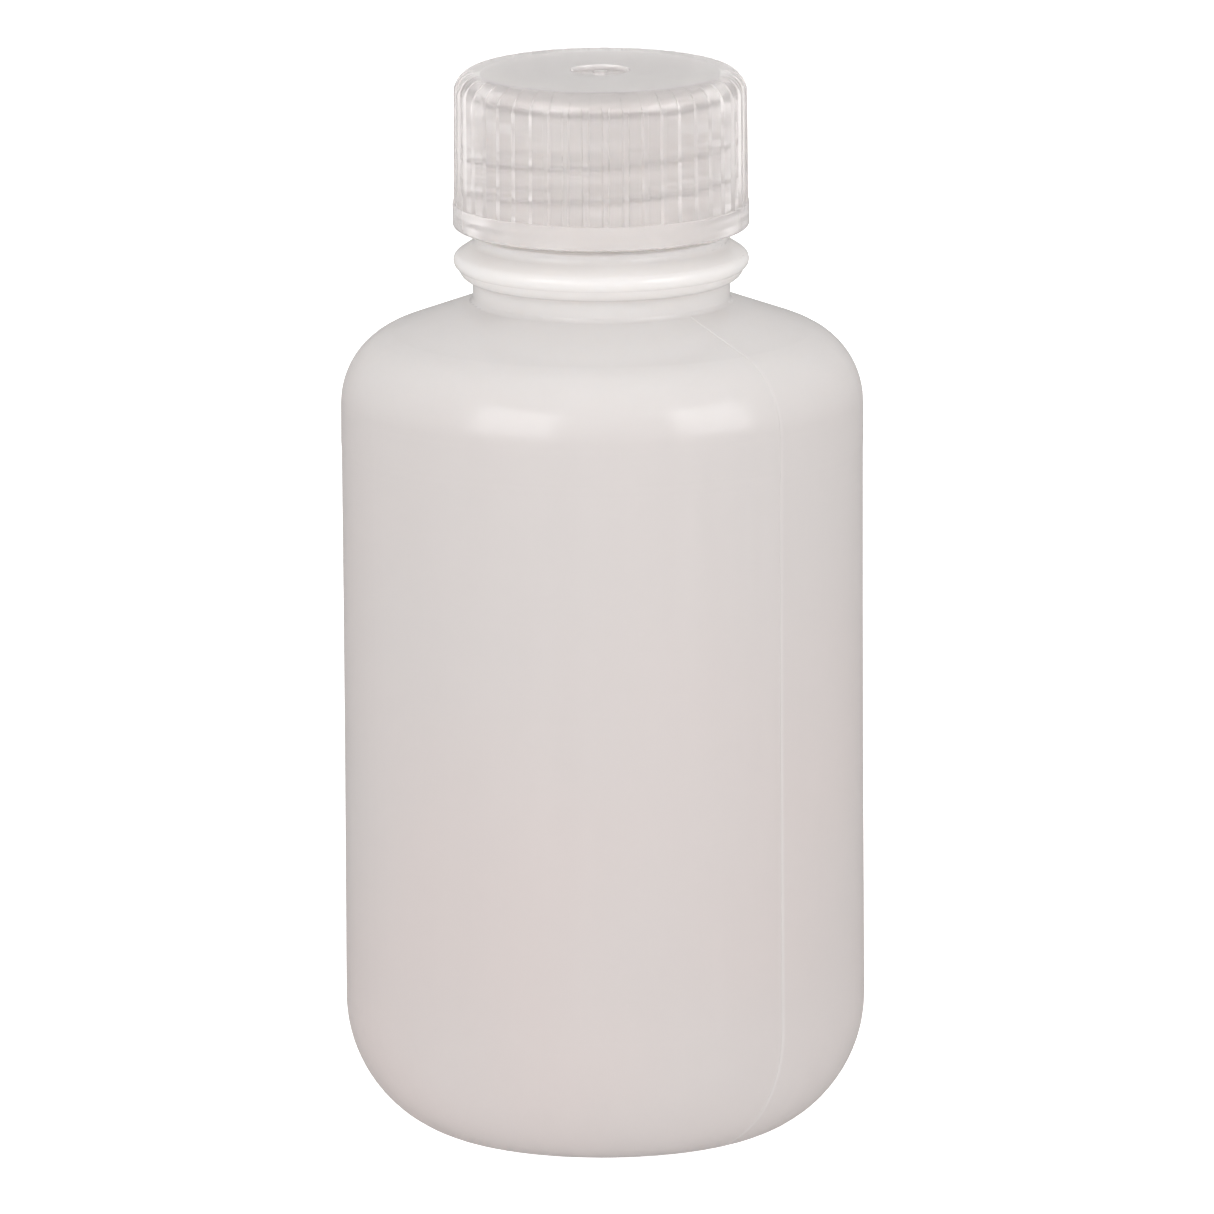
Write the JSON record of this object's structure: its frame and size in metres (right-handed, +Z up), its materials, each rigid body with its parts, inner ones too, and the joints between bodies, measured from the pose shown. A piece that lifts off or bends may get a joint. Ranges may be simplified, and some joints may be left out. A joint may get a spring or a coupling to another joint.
{
  "type": "reagent bottle",
  "caption": "Small round narrow-mouth plastic reagent bottle: translucent body with rounded heel and sloping shoulder, collared neck, and a ribbed screw cap over a plug seal.",
  "frame": {"origin": "middle of the base, on the plane that the bottle stands on", "axes": "+Z up along the bottle's axis, out through the mouth; -Y is the front"},
  "size_m": [0.0488, 0.0488, 0.101],
  "materials": {
    "bottle_plastic": "milky translucent polyethylene, satin blown surface",
    "cap_plastic": "clear-hazy natural polypropylene, moulded gloss",
    "seal_plastic": "soft translucent polyethylene, satin"
  },
  "bodies": {
    "bottle_body": {"bottle": "bottle_plastic"},
    "seal_body": {"seal_insert": "seal_plastic"},
    "cap_body": {"cap": "cap_plastic"}
  },
  "joints": [
    {"name": "cap_lift", "type": "slide", "parent": "bottle_body", "child": "seal_body", "axis": [0, 0, 1], "range_m": [0, 0.0143]},
    {"name": "cap_turn", "type": "hinge", "parent": "seal_body", "child": "cap_body", "pos_m": [0, 0, 0.095], "axis": [0, 0, 1], "range_deg": [0, 1620]}
  ],
  "couplings": [
    {"joint": "cap_lift", "follows": "cap_turn", "m_per_rad": 0.00050532}
  ]
}
